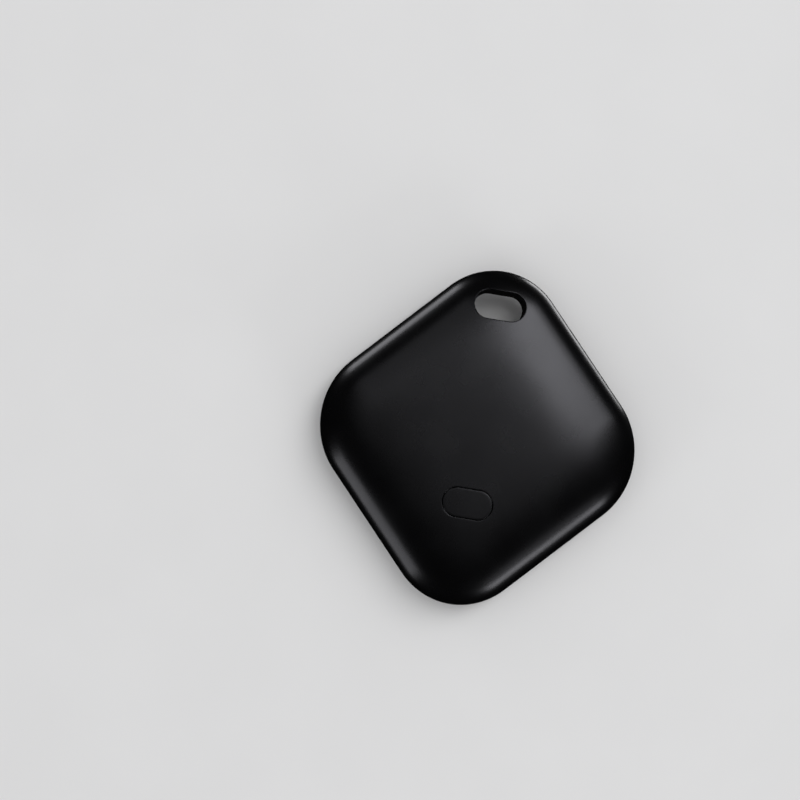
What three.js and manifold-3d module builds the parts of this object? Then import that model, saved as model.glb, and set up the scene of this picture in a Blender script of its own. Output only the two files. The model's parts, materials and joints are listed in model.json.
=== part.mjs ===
// A bluetooth tracker tag: a rounded-square, pillow-shaped case that hangs by one corner.
// The front cover has a slot for a key ring near its top corner and a flush button near its
// bottom corner. The case lifts off its rear cover, so that the coin cell can be changed.
//
// Units are millimetres. The origin is the centre of the flat rear face, +Z points out of the
// domed front, +Y points from the button to the key-ring slot, and +X is to the right.

import * as THREE from 'three';
import { mergeVertices } from 'three/addons/utils/BufferGeometryUtils.js';
import { ParametricGeometry } from 'three/addons/geometries/ParametricGeometry.js';
import Module from 'manifold-3d';

const wasm = await Module();
wasm.setup();

// Outline: a rounded square stood on its corner, a little longer along Y than across X.
const halfSide = 19.6;
const cornerRadius = 10.8;
const acrossScale = 0.969;
const alongScale = 1.0318;

// Case section, from the rear face up.
const partingZ = 4.1;
const partingGap = 0.06;
const frontRise = 4.7;
const domePower = 6;
const frontWall = 1.2;
const rearRoundInset = 5;
const rearFloorZ = 1.2;

// Edge of the case, as insets from the outline, and where the slot's corner is walled off.
const edgeWall = 1.5;
const skirtGap = 0.1;
const skirtWall = 0.9;
const skirtTopZ = 5;
const sealSeatZ = 5.8;
const upperWall = 2.8;
const slotWallY = 14.9;

// Key-ring slot and button: two stadiums of nearly one size.
const slotLength = 7.2;
const slotWidth = 4.15;
const slotY = 18.8;
const buttonLength = 7.0;
const buttonWidth = 4.1;
const buttonY = -9.3;
const buttonGap = 0.1;
const flangeReach = 0.7;
const flangeZ = 7.2;
const flangeThickness = 0.25;
const postZ = 7.1;
const postRadius = 1.0;

// Circuit board and the moulded frame that holds the cell under it.
const boardZ = 5.2;
const boardThickness = 0.8;
const boardTopZ = boardZ + boardThickness;
const boardInset = 3.1;
const boardClipY = 13.3;
const frameZ = 4.1;
const frameTopZ = 5.1;
const frameInset = 2.85;
const frameClipY = 13.55;
const cupZ = 1.45;
const cupInnerRadius = 10.35;
const cupOuterRadius = 11.3;
const lipRadius = 9.1;
const lipZ = 4.65;
const solderGap = 0.02;

// Heat stakes that hold the frame and the board to the front cover.
const stakePlaces = [[14.8, 0], [-14.8, 0], [0, -15.6], [5.5, 12], [-5.5, 12]];
const stakeRadius = 0.8;
const stakeHoleRadius = 0.9;
const stakeBossRadius = 1.7;
const stakeHeadRadius = 1.25;
const stakeHeadHeight = 0.4;

// How far joined solids run into each other.
const overlap = 0.3;

// Coin cell: 20 mm across and 3.2 mm thick.
const cellZ = 1.4;
const cellHeight = 3.2;
const cellRadius = 10;
const cellTopZ = cellZ + cellHeight;

// Piezo sounder, glued to the inside of the front cover.
const piezoY = 2;
const piezoRadius = 7;
const piezoTopZ = 7.5;
const piezoPlateZ = 7.2;
const piezoPlateThickness = 0.2;
const piezoCeramicRadius = 4.8;
const piezoCeramicZ = 7.04;

// Facets.
const arcSteps = 8;
const sideSteps = 3;
const aroundSteps = 4 * (arcSteps + sideSteps);
const domeSteps = 9;
const domeMiddleRing = 0.6;
const roundSteps = 40;
const smallRoundSteps = 20;
const smallRadius = 2;
const stadiumSteps = 16;
const offsetLimit = 8;
const reach = 60;

// ---------- solids and meshes ----------

// A closed geometry as a solid that can be joined and cut. Triangles that have shrunk to a
// line, at the middle of a loft's first and last ring, are dropped.
function toSolid(geometry) {
  const bare = geometry.clone();
  bare.deleteAttribute('normal');
  bare.deleteAttribute('uv');
  const merged = mergeVertices(bare, 1e-5);
  const corners = merged.index.array;
  const kept = [];
  for (let i = 0; i < corners.length; i += 3) {
    const [a, b, c] = corners.slice(i, i + 3);
    if (a !== b && b !== c && c !== a) {
      kept.push(a, b, c);
    }
  }
  return new wasm.Manifold(new wasm.Mesh({
    numProp: 3,
    vertProperties: Float32Array.from(merged.attributes.position.array),
    triVerts: Uint32Array.from(kept),
  }));
}

function toGeometry(solid) {
  const mesh = solid.getMesh();
  const indexed = new THREE.BufferGeometry();
  indexed.setAttribute('position', new THREE.BufferAttribute(mesh.vertProperties, 3));
  indexed.setIndex(new THREE.BufferAttribute(mesh.triVerts, 1));
  const geometry = indexed.toNonIndexed();
  geometry.computeVertexNormals();
  return geometry;
}

const tag = new THREE.Group();

function addNode(name, solid, material) {
  const mesh = new THREE.Mesh(toGeometry(solid), material.clone());
  mesh.name = name;
  tag.add(mesh);
}

function finish(color, roughness, metalness) {
  return new THREE.MeshStandardMaterial({ color, roughness, metalness });
}

const satinBlack = finish(0x141416, 0.42, 0);
const frameBlack = finish(0x1c1c1e, 0.55, 0);
const sealRubber = finish(0x2b2b2d, 0.8, 0);
const foamGrey = finish(0x3a3a3c, 0.95, 0);
const boardMask = finish(0x0f4a2c, 0.4, 0);
const chipBlack = finish(0x17181a, 0.5, 0);
const ceramicTan = finish(0xb08d62, 0.5, 0);
const ceramicWhite = finish(0xe4e0d6, 0.45, 0);
const springSteel = finish(0xc2bfb6, 0.3, 1);
const brassPlate = finish(0xc79a45, 0.35, 1);
const cellSteel = finish(0xb9bbbd, 0.28, 1);
const gasketWhite = finish(0xd8dadb, 0.6, 0);
const cathodeBlack = finish(0x1a1a1a, 0.9, 0);
const lithiumGrey = finish(0x9c9fa3, 0.5, 1);

// ---------- the outline and its height field ----------

// A point of the outline moved in by an inset. share runs once round from 0 to 1, as four
// corner arcs with a straight side after each. Past offsetLimit the outline only shrinks.
function outlinePoint(share, inset) {
  const offset = Math.min(inset, offsetLimit);
  const shrink = (halfSide - inset) / (halfSide - offset);
  const radius = cornerRadius - offset;
  const quarter = Math.floor(share * 4 + 1e-9) % 4;
  const within = (share * 4 - Math.floor(share * 4 + 1e-9)) * (arcSteps + sideSteps);
  const onArc = Math.min(within / arcSteps, 1);
  const onSide = Math.max((within - arcSteps) / sideSteps, 0);
  const centreReach = (halfSide - cornerRadius) * Math.SQRT2;
  const tip = quarter * Math.PI / 2;
  const angle = tip + (onArc - 0.5) * Math.PI / 2;
  const startX = centreReach * Math.cos(tip);
  const startY = centreReach * Math.sin(tip);
  const endX = centreReach * Math.cos(tip + Math.PI / 2);
  const endY = centreReach * Math.sin(tip + Math.PI / 2);
  const x = startX + (endX - startX) * onSide + radius * Math.cos(angle);
  const y = startY + (endY - startY) * onSide + radius * Math.sin(angle);
  return new THREE.Vector2(x * shrink * acrossScale, y * shrink * alongScale);
}

function smoothStep(low, high, value) {
  const t = Math.min(Math.max((value - low) / (high - low), 0), 1);
  return t * t * (3 - 2 * t);
}

// How far out a point is, from 0 at the centre to halfSide on the outline. Near the edge the
// contours are exact offsets of the outline, and towards the middle they become a squircle.
function outwardness(x, y) {
  const across = x / acrossScale;
  const along = y / alongScale;
  const p = Math.abs(across + along) / Math.SQRT2;
  const q = Math.abs(along - across) / Math.SQRT2;
  const straight = halfSide - cornerRadius;
  const pastCorner = Math.hypot(Math.max(p - straight, 0), Math.max(q - straight, 0));
  const offsetBased = straight + pastCorner + Math.min(Math.max(p, q) - straight, 0);
  const squircle = (p ** 4 + q ** 4) ** 0.25;
  const edgeShare = smoothStep(0.55, 0.9, squircle / halfSide);
  return squircle + (offsetBased - squircle) * edgeShare;
}

// Height of the front dome, or with a wall thickness that of the surface inside it.
function domeHeight(x, y, wall) {
  const out = Math.min((outwardness(x, y) + wall) / halfSide, 1);
  return partingZ + (frontRise - wall) * Math.sqrt(1 - out ** domePower);
}

// Insets at which the dome has turned through even steps, from the edge to its flat middle,
// which has one ring of its own.
function domeInsets(wall) {
  const insets = [];
  for (let k = 0; k < domeSteps; k += 1) {
    const turn = (k / domeSteps) * Math.PI / 2;
    insets.push(halfSide * (1 - Math.cos(turn) ** (2 / domePower)) - wall);
  }
  return [...insets, halfSide * domeMiddleRing, halfSide];
}

// A closed body through rings, each an inset of the outline at a height.
function loft(rings) {
  const last = rings.length - 1;
  const surface = (u, v, target) => {
    const ring = rings[Math.round(v * last)];
    const point = outlinePoint(Math.round(u * aroundSteps) / aroundSteps, ring.inset);
    target.set(point.x, point.y, ring.height(point.x, point.y));
  };
  return toSolid(new ParametricGeometry(surface, aroundSteps, last));
}

function levelRing(inset, z) {
  return { inset, height: () => z };
}

function domeRing(inset, wall) {
  return { inset, height: (x, y) => domeHeight(x, y, wall) };
}

// ---------- simple solids ----------

function extrude(shape, lowZ, highZ, curveSegments) {
  const geometry = new THREE.ExtrudeGeometry(shape, {
    depth: highZ - lowZ,
    bevelEnabled: false,
    curveSegments,
  });
  return toSolid(geometry.translate(0, 0, lowZ));
}

function stadium(length, width, y, lowZ, highZ) {
  const radius = width / 2;
  const half = (length - width) / 2;
  const shape = new THREE.Shape();
  shape.moveTo(-half, y - radius);
  shape.lineTo(half, y - radius);
  shape.absarc(half, y, radius, -Math.PI / 2, Math.PI / 2);
  shape.lineTo(-half, y + radius);
  shape.absarc(-half, y, radius, Math.PI / 2, Math.PI * 1.5);
  return extrude(shape, lowZ, highZ, stadiumSteps);
}

function block(width, depth, x, y, lowZ, highZ) {
  const geometry = new THREE.BoxGeometry(width, depth, highZ - lowZ);
  return toSolid(geometry.translate(x, y, (lowZ + highZ) / 2));
}

function disc(radius, x, y, lowZ, highZ) {
  const steps = radius < smallRadius ? smallRoundSteps : roundSteps;
  const geometry = new THREE.CylinderGeometry(radius, radius, highZ - lowZ, steps);
  return toSolid(geometry.rotateX(Math.PI / 2).translate(x, y, (lowZ + highZ) / 2));
}

// A solid of revolution about Z from [radius, height] corners. It starts and ends on the
// axis, or closes on itself.
function turned(corners, x, y) {
  const profile = corners.map(([radius, z]) => new THREE.Vector2(radius, z));
  const widest = Math.max(...corners.map(([radius]) => radius));
  const steps = widest < smallRadius ? smallRoundSteps : roundSteps;
  const geometry = new THREE.LatheGeometry(profile, steps);
  return toSolid(geometry.rotateX(Math.PI / 2).translate(x, y, 0));
}

// The outline at an inset as a flat plate, cut off at clipY towards the slot's corner.
function plate(inset, clipY, lowZ, highZ) {
  const points = [];
  for (let k = 0; k < aroundSteps; k += 1) {
    points.push(outlinePoint(k / aroundSteps, inset));
  }
  const whole = extrude(new THREE.Shape(points), lowZ, highZ, 1);
  return whole.intersect(block(reach, reach, 0, clipY - reach / 2, lowZ - 1, highZ + 1));
}

// A sheet-metal strip of even thickness along [x, z] points, as wide as width along Y.
function strip(points, thickness, width) {
  const sides = [1, -1].map((sign) => points.map(([x, z], k) => {
    const [beforeX, beforeZ] = points[Math.max(k - 1, 0)];
    const [afterX, afterZ] = points[Math.min(k + 1, points.length - 1)];
    const length = Math.hypot(afterX - beforeX, afterZ - beforeZ);
    const offset = sign * thickness / 2 / length;
    return new THREE.Vector2(x - (afterZ - beforeZ) * offset, z + (afterX - beforeX) * offset);
  }));
  const shape = new THREE.Shape([...sides[0], ...sides[1].reverse()]);
  const geometry = new THREE.ExtrudeGeometry(shape, { depth: width, bevelEnabled: false });
  return toSolid(geometry.rotateX(Math.PI / 2).translate(0, width / 2, 0));
}

function place(solid, turn, x, y) {
  return solid.rotate([0, 0, turn]).translate([x, y, 0]);
}

// ---------- case ----------

// One stake: a boss that stops the board, a pin through board and frame, and its melted head.
function stake([x, y]) {
  const bossTopZ = domeHeight(x, y, frontWall) + overlap;
  const boss = disc(stakeBossRadius, x, y, boardTopZ + solderGap, bossTopZ);
  const pin = disc(stakeRadius, x, y, frameZ - stakeHeadHeight, boardTopZ + overlap);
  const head = disc(stakeHeadRadius, x, y, frameZ - stakeHeadHeight - solderGap, frameZ - solderGap);
  return boss.add(pin).add(head);
}

function frontCover() {
  const startZ = partingZ + partingGap;
  const outerRings = domeInsets(0).slice(1).map((inset) => domeRing(inset, 0));
  const outer = loft([levelRing(halfSide, startZ), levelRing(0, startZ), ...outerRings]);
  const lowerRoom = plate(edgeWall, slotWallY, 0, sealSeatZ);
  const innerRings = domeInsets(frontWall).filter((inset) => inset > upperWall);
  const roomRings = [upperWall, ...innerRings].map((inset) => domeRing(inset, frontWall));
  const upperClip = slotWallY - (upperWall - edgeWall);
  const upperRoom = loft([levelRing(halfSide, 0), levelRing(upperWall, 0), ...roomRings])
    .intersect(block(reach, reach, 0, upperClip - reach / 2, -1, reach));
  const guideWall = 0.7;
  const guideGap = 0.15;
  const guideTopZ = 7.8;
  const flangeClearance = 0.05;
  const guideLength = buttonLength + 2 * (flangeReach + guideGap);
  const guideWidth = buttonWidth + 2 * (flangeReach + guideGap);
  const guide = stadium(
    guideLength + 2 * guideWall,
    guideWidth + 2 * guideWall,
    buttonY,
    flangeZ - overlap,
    guideTopZ,
  );
  const flangeRoomTopZ = flangeZ + flangeThickness + flangeClearance;
  const flangeRoom = stadium(guideLength, guideWidth, buttonY, 0, flangeRoomTopZ);
  const holeLength = buttonLength + 2 * buttonGap;
  const holeWidth = buttonWidth + 2 * buttonGap;
  const buttonHole = stadium(holeLength, holeWidth, buttonY, 0, reach);
  let cover = outer
    .subtract(lowerRoom)
    .subtract(upperRoom)
    .add(guide)
    .subtract(flangeRoom)
    .subtract(buttonHole);
  for (const spot of stakePlaces) {
    cover = cover.add(stake(spot));
  }
  return cover.subtract(stadium(slotLength, slotWidth, slotY, -1, reach));
}

// The rear edge rolls up as a quarter ellipse from the flat rear face to the parting line.
function rearEdgeRings() {
  const steps = 8;
  const rings = [];
  for (let k = 0; k <= steps; k += 1) {
    const turn = (k / steps) * Math.PI / 2;
    const z = (partingZ - partingGap) * (1 - Math.cos(turn));
    rings.push(levelRing(rearRoundInset * (1 - Math.sin(turn)), z));
  }
  return rings;
}

function rearCover() {
  const topZ = partingZ - partingGap;
  const outer = loft([levelRing(halfSide, 0), ...rearEdgeRings(), levelRing(halfSide, topZ)]);
  const skirtInset = edgeWall + skirtGap;
  const skirtClip = slotWallY - skirtGap;
  const trayInset = skirtInset + skirtWall;
  const trayClip = skirtClip - skirtWall;
  const chamfer = 0.8;
  const chamferTopZ = rearFloorZ + chamfer + 0.01;
  const skirt = plate(skirtInset, skirtClip, topZ - overlap, skirtTopZ);
  const tray = plate(trayInset, trayClip, rearFloorZ + chamfer, skirtTopZ + 1);
  const trayFloor = loft([
    levelRing(halfSide, rearFloorZ),
    levelRing(trayInset + chamfer, rearFloorZ),
    levelRing(trayInset, chamferTopZ),
    levelRing(halfSide, chamferTopZ),
  ]).intersect(block(reach, reach, 0, trayClip - reach / 2, 0, skirtTopZ));
  const notchWidth = 6;
  const notchDepth = 0.9;
  const notchHeight = 0.8;
  const tipY = -((halfSide - cornerRadius) * Math.SQRT2 + cornerRadius) * alongScale;
  const notch = block(notchWidth, 2 * notchDepth, 0, tipY, topZ - notchHeight, topZ + 1);
  return outer
    .add(skirt)
    .subtract(tray)
    .subtract(trayFloor)
    .subtract(notch)
    .subtract(stadium(slotLength, slotWidth, slotY, -1, reach));
}

function buttonCap() {
  const height = (x, y) => Math.max(domeHeight(x, y, 0), flangeZ);
  const topRings = domeInsets(0).map((inset) => ({ inset, height }));
  const bodyTop = loft([levelRing(halfSide, flangeZ), levelRing(0, flangeZ), ...topRings]);
  const stem = stadium(buttonLength, buttonWidth, buttonY, flangeZ, reach).intersect(bodyTop);
  const flange = stadium(
    buttonLength + 2 * flangeReach,
    buttonWidth + 2 * flangeReach,
    buttonY,
    flangeZ,
    flangeZ + flangeThickness,
  );
  const post = disc(postRadius, 0, buttonY, postZ, flangeZ + flangeThickness);
  return stem.add(flange).add(post);
}

function sealRing() {
  const gap = 0.05;
  const outer = plate(edgeWall + 3 * gap, slotWallY - 3 * gap, skirtTopZ + gap, sealSeatZ - gap);
  const innerInset = edgeWall + skirtGap + skirtWall + gap;
  const innerClip = slotWallY - skirtGap - skirtWall - gap;
  return outer.subtract(plate(innerInset, innerClip, 0, reach));
}

addNode('front_cover', frontCover(), satinBlack);
addNode('rear_cover', rearCover(), satinBlack);
addNode('button_cap', buttonCap(), satinBlack);
addNode('seal_ring', sealRing(), sealRubber);

// A thin foam pad on the rear cover keeps the cell from rattling.
const padRadius = 6;
addNode('cell_pad', disc(padRadius, 0, 0, rearFloorZ + 0.02, cellZ - 0.03), foamGrey);

// ---------- frame and board ----------

// The side contacts are contactWidth wide and stand in windows through the cup's wall.
const contactWidth = 3;
const windowWidth = 3.6;
const windowDepth = 3.2;
const windowX = 11.4;

function withStakeHoles(solid) {
  return stakePlaces.reduce(
    (left, [x, y]) => left.subtract(disc(stakeHoleRadius, x, y, 0, reach)),
    solid,
  );
}

function batteryFrame() {
  const ribCount = 4;
  const ribWidth = 0.9;
  const ribEnd = 14.4;
  const ribLowZ = 2.4;
  const base = plate(frameInset, frameClipY, frameZ, frameTopZ);
  const cup = disc(cupOuterRadius, 0, 0, cupZ, frameZ + overlap);
  let frame = base.add(cup);
  for (let k = 0; k < ribCount; k += 1) {
    const rib = block(ribEnd, ribWidth, ribEnd / 2, 0, ribLowZ, frameZ + overlap);
    frame = frame.add(rib.rotate([0, 0, 45 + 90 * k]));
  }
  frame = frame
    .subtract(disc(cupInnerRadius, 0, 0, 0, lipZ))
    .subtract(disc(lipRadius, 0, 0, 0, reach));
  for (const side of [1, -1]) {
    frame = frame.subtract(block(windowDepth, windowWidth, side * windowX, 0, 0, reach));
  }
  return withStakeHoles(frame);
}

function circuitBoard() {
  return withStakeHoles(plate(boardInset, boardClipY, boardZ, boardTopZ));
}

addNode('battery_frame', batteryFrame(), frameBlack);
addNode('circuit_board', circuitBoard(), boardMask);

// ---------- battery contacts ----------

const springThickness = 0.12;
const springGap = 0.04;

// A leaf that stands beside the cell, bulges in to its rim and has a foot under the board.
function positiveContact() {
  const footZ = boardZ - solderGap - springThickness / 2;
  const touchX = cellRadius + 0.12;
  const points = [
    [touchX + 0.63, 1.9], [touchX + 0.28, 2.4], [touchX, 3.0], [touchX, 3.4],
    [touchX + 0.38, 4.1], [touchX + 0.5, footZ], [touchX + 2.48, footZ],
  ];
  return strip(points, springThickness, contactWidth);
}

// A shallow bow under the board that presses on the middle of the cell.
function negativeContact() {
  const footZ = boardZ - solderGap - springThickness / 2;
  const touchZ = cellTopZ + springGap + springThickness / 2;
  const points = [
    [-6.6, footZ], [-5, footZ], [-1, touchZ], [1, touchZ], [5, footZ], [6.6, footZ],
  ];
  return strip(points, springThickness, contactWidth);
}

addNode('positive_contact_right', positiveContact(), springSteel);
addNode('positive_contact_left', place(positiveContact(), 180, 0, 0), springSteel);
addNode('negative_contact', negativeContact(), springSteel);

// ---------- coin cell ----------

const canWall = 0.25;
const crimpRadius = 9;
const capRadius = 8.5;
const capFlangeRadius = 9.3;
const cathodeRadius = 8.9;
const anodeRadius = 7.8;
const cathodeTopZ = 3.3;
const separatorTopZ = 3.38;

function cellCan() {
  const inside = cellRadius - canWall;
  return turned([
    [0, cellZ], [cellRadius - 0.3, cellZ], [cellRadius, cellZ + 0.3], [cellRadius, cellTopZ - 0.15],
    [cellRadius - 0.15, cellTopZ], [crimpRadius, cellTopZ], [crimpRadius, cellTopZ - 0.18],
    [inside, cellTopZ - 0.18], [inside, cellZ + canWall], [0, cellZ + canWall],
  ], 0, 0);
}

function cellGasket() {
  const gap = 0.03;
  const outside = cellRadius - canWall - gap;
  const inside = capFlangeRadius + gap;
  const low = cellZ + canWall + gap;
  const shoulder = cellTopZ - 0.5 + gap;
  const underCrimp = cellTopZ - 0.18 - gap;
  return turned([
    [inside, low], [outside, low], [outside, underCrimp], [crimpRadius - gap, underCrimp],
    [crimpRadius - gap, cellTopZ - 0.08], [capRadius + gap, cellTopZ - 0.08],
    [capRadius + gap, shoulder], [inside, shoulder], [inside, low],
  ], 0, 0);
}

function cellCap() {
  const sheet = 0.2;
  const shoulder = cellTopZ - 0.5;
  return turned([
    [0, cellTopZ - sheet], [capRadius - sheet - 0.15, cellTopZ - sheet],
    [capRadius - sheet, cellTopZ - sheet - 0.15], [capRadius - sheet, shoulder - sheet],
    [capFlangeRadius - sheet, shoulder - sheet], [capFlangeRadius - sheet, cellZ + 0.5],
    [capFlangeRadius, cellZ + 0.5], [capFlangeRadius, shoulder], [capRadius, shoulder],
    [capRadius, cellTopZ - 0.15], [capRadius - 0.15, cellTopZ], [0, cellTopZ],
  ], 0, 0);
}

// The layers inside the cell, from the can's floor up.
function cellLayer(radius, lowZ, highZ) {
  return disc(radius, 0, 0, lowZ, highZ);
}

addNode('cell_can', cellCan(), cellSteel);
addNode('cell_gasket', cellGasket(), gasketWhite);
addNode('cell_cap', cellCap(), cellSteel);
addNode('cell_cathode', cellLayer(cathodeRadius, cellZ + canWall + 0.03, cathodeTopZ), cathodeBlack);
addNode('cell_separator', cellLayer(cathodeRadius, cathodeTopZ + 0.02, separatorTopZ), gasketWhite);
addNode('cell_anode', cellLayer(anodeRadius, separatorTopZ + 0.02, cellTopZ - 0.25), lithiumGrey);

// ---------- tact switch under the button ----------

const switchLength = 4;
const switchWidth = 3;
const switchSplitZ = 6.6;
const switchTopZ = 6.85;
const switchWellZ = 6.12;
const switchWellRadius = 1.35;
const plungerRadius = 0.75;
const plungerFlangeRadius = 1.1;
const plungerZ = 6.44;

function switchBase() {
  return block(switchLength, switchWidth, 0, buttonY, boardTopZ + solderGap, switchSplitZ)
    .subtract(disc(switchWellRadius, 0, buttonY, switchWellZ, reach));
}

function switchCover() {
  return block(switchLength, switchWidth, 0, buttonY, switchSplitZ + solderGap, switchTopZ)
    .subtract(disc(plungerRadius + 0.1, 0, buttonY, 0, reach));
}

function switchDome() {
  const sheet = 0.06;
  const rim = switchWellRadius - 0.05;
  const low = switchWellZ + solderGap;
  const apex = plungerZ - solderGap;
  return turned([
    [0, apex - sheet], [rim * 0.5, apex - sheet - 0.06], [rim - 0.1, low], [rim, low],
    [rim, low + 0.03], [rim * 0.5, apex - 0.06], [0, apex],
  ], 0, buttonY);
}

function switchPlunger() {
  const flangeTop = plungerZ + 0.1;
  const top = postZ - 0.03;
  return turned([
    [0, plungerZ], [plungerFlangeRadius, plungerZ], [plungerFlangeRadius, flangeTop],
    [plungerRadius, flangeTop], [plungerRadius, top - 0.1], [plungerRadius - 0.1, top], [0, top],
  ], 0, buttonY);
}

addNode('switch_base', switchBase(), chipBlack);
addNode('switch_cover', switchCover(), springSteel);
addNode('switch_dome', switchDome(), springSteel);
addNode('switch_plunger', switchPlunger(), ceramicWhite);

// ---------- piezo sounder ----------

function adhesiveRing() {
  const ringWidth = 1.2;
  const lowZ = piezoPlateZ + piezoPlateThickness + solderGap;
  return disc(piezoRadius, 0, piezoY, lowZ, piezoTopZ)
    .subtract(disc(piezoRadius - ringWidth, 0, piezoY, 0, reach));
}

function piezoPlate() {
  return disc(piezoRadius, 0, piezoY, piezoPlateZ, piezoPlateZ + piezoPlateThickness);
}

function piezoCeramic() {
  return disc(piezoCeramicRadius, 0, piezoY, piezoCeramicZ, piezoPlateZ - solderGap);
}

// A leaf soldered to the board whose free end touches the sounder above it.
function sounderSpring(touchZ) {
  const leafWidth = 1.2;
  const footZ = boardTopZ + solderGap + springThickness / 2;
  const tipZ = touchZ - springGap - springThickness / 2;
  const points = [
    [-1, footZ], [0.8, footZ], [1.1, footZ + 0.25],
    [0.6, footZ + 0.45], [-0.4, tipZ], [-1, tipZ],
  ];
  return strip(points, springThickness, leafWidth);
}

const ceramicSpring = place(sounderSpring(piezoCeramicZ), 0, 1.5, piezoY + 1);
const plateSpring = place(sounderSpring(piezoPlateZ), 90, -1, piezoY + 5.9);

addNode('piezo_adhesive', adhesiveRing(), foamGrey);
addNode('piezo_plate', piezoPlate(), brassPlate);
addNode('piezo_ceramic', piezoCeramic(), ceramicWhite);
addNode('sounder_spring_ceramic', ceramicSpring, springSteel);
addNode('sounder_spring_plate', plateSpring, springSteel);

// ---------- parts on the board ----------

function onBoard(width, depth, height, turn, x, y) {
  const low = boardTopZ + solderGap;
  return place(block(width, depth, 0, 0, low, low + height), turn, x, y);
}

const capShare = 0.22;

// A ceramic chip part: a body with a slightly larger metal cap on each end.
function chipPart(length, width, height, turn, x, y) {
  const capLength = length * capShare;
  const lip = 0.03;
  const low = boardTopZ + solderGap;
  let part = block(length - capLength, width, 0, 0, low + lip, low + height - lip);
  for (const end of [1, -1]) {
    const capX = end * (length - capLength) / 2;
    part = part.add(block(capLength, width + 2 * lip, capX, 0, low, low + height));
  }
  return place(part, turn, x, y);
}

addNode('bluetooth_chip', onBoard(5, 5, 0.85, 0, -6, -3), chipBlack);
addNode('main_crystal', onBoard(2.5, 2, 0.6, 0, -10.6, -3), springSteel);
addNode('clock_crystal', onBoard(3.2, 1.5, 0.7, 0, -6, 2.4), chipBlack);
addNode('chip_antenna', onBoard(5, 1.6, 0.6, 45, -12.2, 5), ceramicWhite);
addNode('boost_inductor', onBoard(3, 3, 0.9, 0, 9.5, -2.5), chipBlack);
addNode('driver_transistor', onBoard(2.9, 1.4, 0.95, 0, 9.5, 2), chipBlack);

// Each place is [x, y, turn in degrees].
const capacitorPlaces = [
  [-6, -7.2, 0], [-8, -7.2, 0], [-2.2, -3, 90], [-11, -5.6, 0], [6.2, -2.5, 90], [9.5, 4.6, 0],
];
capacitorPlaces.forEach(([x, y, turn], k) => {
  addNode(`capacitor_${k + 1}`, chipPart(1.2, 0.7, 0.6, turn, x, y), ceramicTan);
});

const resistorPlaces = [[6.2, 2, 90], [6.2, -6, 90], [-5.2, 4.6, 0], [-7.2, 4.6, 0]];
resistorPlaces.forEach(([x, y, turn], k) => {
  addNode(`resistor_${k + 1}`, chipPart(1.2, 0.7, 0.4, turn, x, y), chipBlack);
});

const matchingPlaces = [[-10.6, 0.2, 90], [-10.6, 2.2, 90]];
matchingPlaces.forEach(([x, y, turn], k) => {
  addNode(`matching_inductor_${k + 1}`, chipPart(1.2, 0.7, 0.6, turn, x, y), ceramicWhite);
});

export default tag;
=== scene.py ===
import json
from math import copysign, cos, dist, pi, radians, sin, sqrt

import bmesh
import bpy
import numpy as np
from mathutils import Matrix, Vector
from mathutils.geometry import delaunay_2d_cdt


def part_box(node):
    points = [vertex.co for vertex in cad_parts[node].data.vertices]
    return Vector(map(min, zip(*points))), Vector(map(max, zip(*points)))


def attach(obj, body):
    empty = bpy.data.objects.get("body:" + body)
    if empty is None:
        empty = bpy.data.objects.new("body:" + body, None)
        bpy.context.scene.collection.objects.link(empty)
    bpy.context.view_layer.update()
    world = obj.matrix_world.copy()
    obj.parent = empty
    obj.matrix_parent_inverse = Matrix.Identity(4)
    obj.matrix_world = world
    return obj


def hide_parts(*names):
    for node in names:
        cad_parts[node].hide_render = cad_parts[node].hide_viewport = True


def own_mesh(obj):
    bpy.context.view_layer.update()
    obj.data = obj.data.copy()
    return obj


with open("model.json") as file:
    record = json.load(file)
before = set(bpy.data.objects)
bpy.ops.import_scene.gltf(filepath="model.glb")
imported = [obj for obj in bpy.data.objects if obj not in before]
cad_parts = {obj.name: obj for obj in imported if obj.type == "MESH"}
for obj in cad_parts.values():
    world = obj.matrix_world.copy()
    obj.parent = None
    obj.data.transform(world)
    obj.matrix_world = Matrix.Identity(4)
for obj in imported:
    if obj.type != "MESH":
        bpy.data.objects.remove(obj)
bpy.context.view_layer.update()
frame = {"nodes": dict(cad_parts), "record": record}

MM = 0.001
ORIGIN = (0.0, 0.0)


def heights(node):
    """Low and high z of a CAD node."""
    return [corner.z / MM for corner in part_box(node)]


# ---- driving values (millimetres)

# Outline of the case: a rounded square stood on its corner. Its reach along X and Y is the frame's.
HALF_SIDE = 19.6
CORNER = 10.8
STRAIGHT = HALF_SIDE - CORNER
TIP = STRAIGHT * sqrt(2) + CORNER
CASE_LOW, CASE_HIGH = [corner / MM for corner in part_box("front_cover")]
ACROSS = CASE_HIGH.x / TIP
ALONG = CASE_HIGH.y / TIP

# Section of the case.
PARTING_Z = 4.1
PARTING_GAP = 0.05
DOME_RISE = CASE_HIGH.z - PARTING_Z
DOME_POWER = 5
FRONT_WALL = 1.2
REAR_ROUND = 5.0
REAR_FLOOR_Z = 1.2
RIB_START = 11.7
RIB_END = 14.9
RIB_HEIGHT = 0.5
EDGE_BREAK = 0.1

# Insets from the outline of the parts that follow it. The slot's corner is walled off by a
# straight line, which lies this far from the middle less the inset.
WALL_LINE = 16.4
EDGE_WALL = 1.5
SKIRT_INSET = 1.6
TRAY_INSET = 2.5
UPPER_INSET = 2.8
FRAME_INSET = 2.85
BOARD_INSET = 3.1
VIA_INSET = 4.1
VIA_COUNT = 40
VIA_CLEARANCE = 2.6
SKIRT_TOP_Z = heights("rear_cover")[1]
SEAL_SEAT_Z = 5.8

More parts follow.
